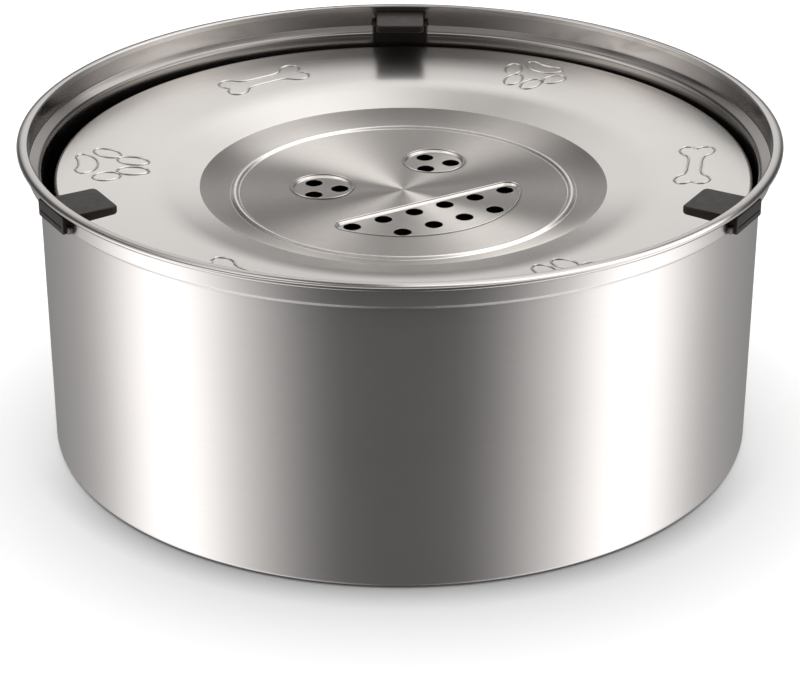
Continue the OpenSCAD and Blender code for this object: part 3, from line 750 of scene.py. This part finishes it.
clip = dict(top=111.44, tongueWidth=18.6, tongueDepth=3.6, tipDepth=2.9, tipR=113.8, tipRound=0.85,
            tipTurn=265.0, taperR=129.9, taperRun=0.4, taperRise=0.02, corner=2.0, endRound=0.5,
            cornerShares=(0.3, 0.55, 0.72), plateMarks=(0.0, 0.3, 0.5),
            plateIn=133.4, plateThick=1.2, plateTop=111.62, plateHeight=6.2, plateWidth=20.4, plateCorner=1.0,
            plateRound=0.35, grooveWidth=0.4, grooveDepth=0.35, grooveEnd=1.5, grooveFade=0.3, grooveFlare=0.06,
            grooveShare=0.667, sharpAngle=40)


def makeClip(c, turn, side):
    a = math.radians(turn)
    bm = bmesh.new()
    plateLow, plateOut = c["plateTop"] - c["plateHeight"], c["plateIn"] + c["plateThick"]
    grooveLow = c["plateTop"] - c["plateHeight"] * c["grooveShare"]
    grooveHigh, grooveEnd = grooveLow + c["grooveWidth"], c["plateWidth"] / 2 - c["grooveEnd"]

    def straight(s, r, z):
        return (r * math.cos(a) - s * math.sin(a)) * mm, (r * math.sin(a) + s * math.cos(a)) * mm, z * mm

    def tongue(s):
        tip = c["tipR"] + drawIn(s, c["tongueWidth"], c["corner"]) + c["tipRound"]
        low, tipLow = c["top"] - c["tongueDepth"], c["top"] - c["tipDepth"]
        root = c["plateIn"] + c["plateThick"] / 2
        return (arc(tip, c["top"] - c["tipRound"], c["tipRound"], 90, 180, 6)
                + arc(tip, tipLow + c["tipRound"], c["tipRound"], 180, c["tipTurn"], 6)
                + [(c["taperR"] - c["taperRun"], low + c["taperRise"]), (c["taperR"], low), (root, low),
                   (root, c["top"])])

    def plate(s):
        inset, soft = drawIn(s, c["plateWidth"], c["plateCorner"]), c["plateRound"]
        low, high = plateLow + inset, c["plateTop"] - inset
        cut = plateOut - c["grooveDepth"] * min(max((grooveEnd - s) / c["grooveFade"], 0.0), 1.0)
        return (arc(plateOut - soft, low + soft, soft, -90, 0, 4)
                + [(plateOut, grooveLow - c["grooveFlare"]), (cut, grooveLow), (cut, grooveHigh),
                   (plateOut, grooveHigh + c["grooveFlare"])]
                + arc(plateOut - soft, high - soft, soft, 0, 90, 4)
                + [(c["plateIn"], high), (c["plateIn"], low)])

    tongueEdge, plateEdge = c["tongueWidth"] / 2 - c["corner"], c["plateWidth"] / 2 - c["plateCorner"]
    softBar(bm, tongue, c["tongueWidth"], c["endRound"], straight,
            [tongueEdge * k / 3 for k in range(4)] + [tongueEdge + c["corner"] * k for k in c["cornerShares"]])
    softBar(bm, plate, c["plateWidth"], c["plateRound"], straight,
            [plateEdge + out for out in c["plateMarks"]] + [grooveEnd, grooveEnd - c["grooveFade"]])
    finishPiece(bm, "tonguedClip_" + side, [clipRubber], "clip_%s_body" % side, "clip_" + side,
                c["sharpAngle"])


guard = dict(top=107.69, low=100.2, innerR=126.0, wallIn=126.8, collarIn=131.0, shelfZ=106.3, shelfLow=105.09,
             shelfRun=1.6, topRound=0.8, footRound=0.3, width=20.8, endRound=0.35, spacing=3.0,
             bridgeLow=106.99, bridgeLap=0.8, bridgeWidth=18.7, bridgeRound=0.05,
             legIn=132.1, legOut=133.39, legLow=clip["plateTop"] - clip["plateHeight"], legWidth=22.8,
             legCorner=1.6, legRound=0.12, legEndRound=0.25, cornerShares=(0.3, 0.5, 0.7), bendR=132.0,
             sharpAngle=40)


def makeGuard(g, turn, side):
    bm = bmesh.new()

    def bentAt(radius):  # lays a bar along the arc of this radius
        def place(s, r, z):
            t = math.radians(turn) + s / radius
            return r * math.cos(t) * mm, r * math.sin(t) * mm, z * mm
        return place

    apron = ([(g["collarIn"], g["shelfZ"]), (g["collarIn"], g["top"])]
             + arc(g["innerR"] + g["topRound"], g["top"] - g["topRound"], g["topRound"], 90, 180, 6)
             + [(g["innerR"], g["low"] + g["footRound"]), (g["innerR"] + g["footRound"], g["low"]),
                (g["wallIn"], g["low"]), (g["wallIn"], g["shelfLow"] - g["shelfRun"]),
                (g["wallIn"] + g["shelfRun"], g["shelfLow"])])
    bridgeIn, bridgeOut = g["collarIn"] - g["bridgeLap"], g["legIn"] + g["bridgeLap"]
    bridge = [(bridgeIn, g["top"]), (bridgeIn, g["bridgeLow"]), (bridgeOut, g["bridgeLow"]),
              (bridgeOut, g["top"])]

    def leg(s):
        low, soft = g["legLow"] + drawIn(s, g["legWidth"], g["legCorner"]), g["legRound"]
        return ([(g["legIn"], g["top"]), (g["legIn"], low)]
                + arc(g["legOut"] - soft, low + soft, soft, -90, 0, 3)
                + arc(g["legOut"] - soft, g["top"] - soft, soft, 0, 90, 3))

    marks = [g["spacing"] * k for k in (1, 2, 3)]
    legEdge = g["legWidth"] / 2 - g["legCorner"]
    softBar(bm, lambda s: apron, g["width"], g["endRound"], bentAt(g["innerR"]), marks)
    softBar(bm, lambda s: bridge, g["bridgeWidth"], g["bridgeRound"], bentAt(g["bendR"]), marks[:2])
    first = len(bm.faces)
    softBar(bm, leg, g["legWidth"], g["legEndRound"], bentAt(g["bendR"]),
            marks[:2] + [legEdge] + [legEdge + g["legCorner"] * k for k in g["cornerShares"]])
    # the leg takes the paler rubber, painted light for the light that falls on it
    for face in list(bm.faces)[first:]:
        face.material_index = 1
    finishPiece(bm, "slotGuard_" + side, [clipRubber, paleLitRubber], "bowl_body", "edge_guard_" + side,
                g["sharpAngle"])


for side, turn in zip(("back", "left", "right"), bowl["clipTurns"]):
    makeClip(clip, turn, side)
    makeGuard(guard, turn, side)
print("stage: clips")

# the hidden pieces keep their CAD solids
for name, material in (("base_ring", clipRubber), ("float_cover", floatPlastic), ("float_tray", floatPlastic)):
    mesh = nodes[name].data
    mesh.materials.clear()
    mesh.materials.append(material)
